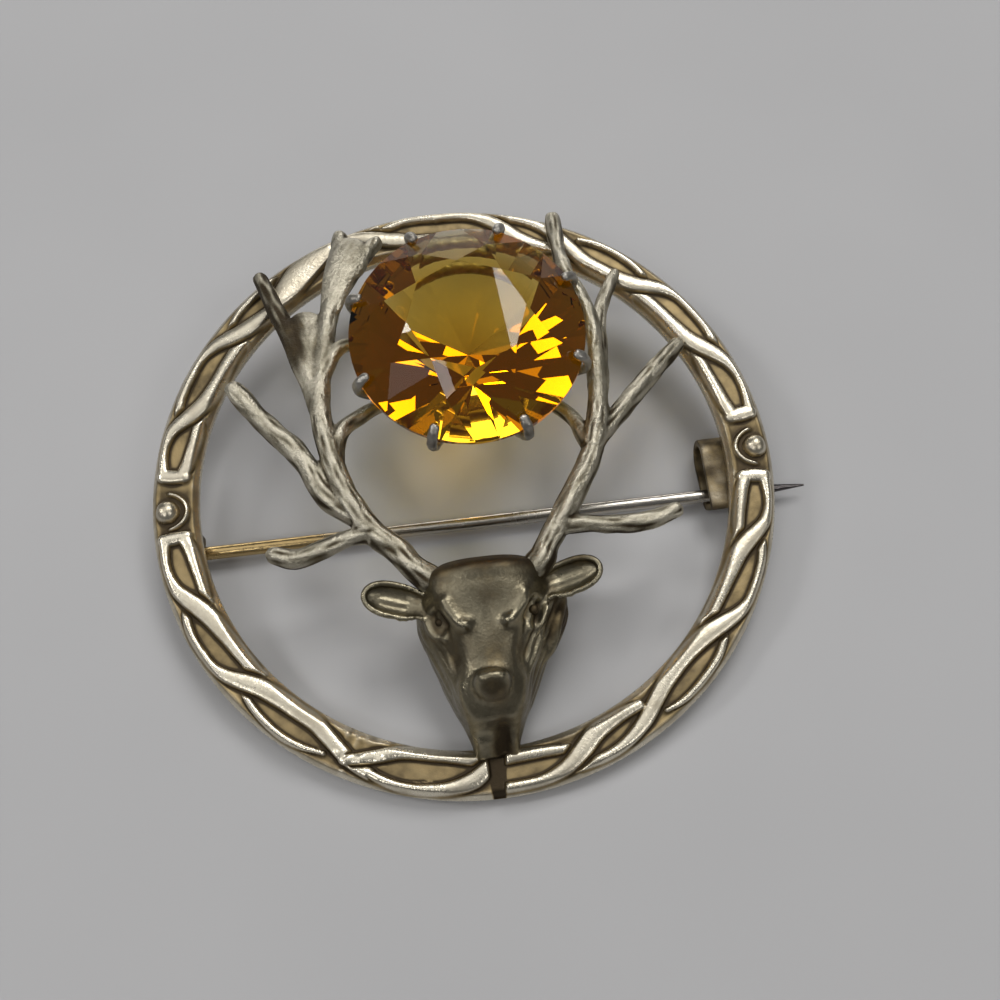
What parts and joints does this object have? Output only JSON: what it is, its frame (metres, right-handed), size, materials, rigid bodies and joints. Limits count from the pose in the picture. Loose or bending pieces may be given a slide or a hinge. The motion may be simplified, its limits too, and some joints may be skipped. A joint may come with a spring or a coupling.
{
  "type": "brooch",
  "caption": "Round pierced silver brooch with a twisted ribbon ring, a cast stag's head whose antlers hold a faceted amber stone, and a hinged pin with a catch behind.",
  "frame": {"origin": "centre of the bounding box's underside, on the surface that the brooch lies on, back down", "axes": "+Z away from the surface that it lies on; +X along the pin, from its hinge to its point; +Y from the stag's chin to the antlers' tips"},
  "size_m": [0.0446, 0.0418, 0.0135],
  "materials": {
    "silver": "worn cast silver, bright on the ridges, with brown tarnish in the recesses",
    "amber_stone": "polished facets, clear olive-amber paste",
    "pin_wire": "drawn wire, worn plating, darker towards the point"
  },
  "bodies": {
    "brooch": {"brooch_frame": "silver", "stone": "amber_stone", "hinge_rivet": "silver"},
    "pin": {"pin_stem": "pin_wire"}
  },
  "joints": [
    {"name": "pin_swing", "type": "hinge", "parent": "brooch", "child": "pin", "pos_m": [-0.02071, -0.00198, 0.00103], "axis": [0, 0.9912, 0.1323], "range_deg": [0, 100]}
  ]
}
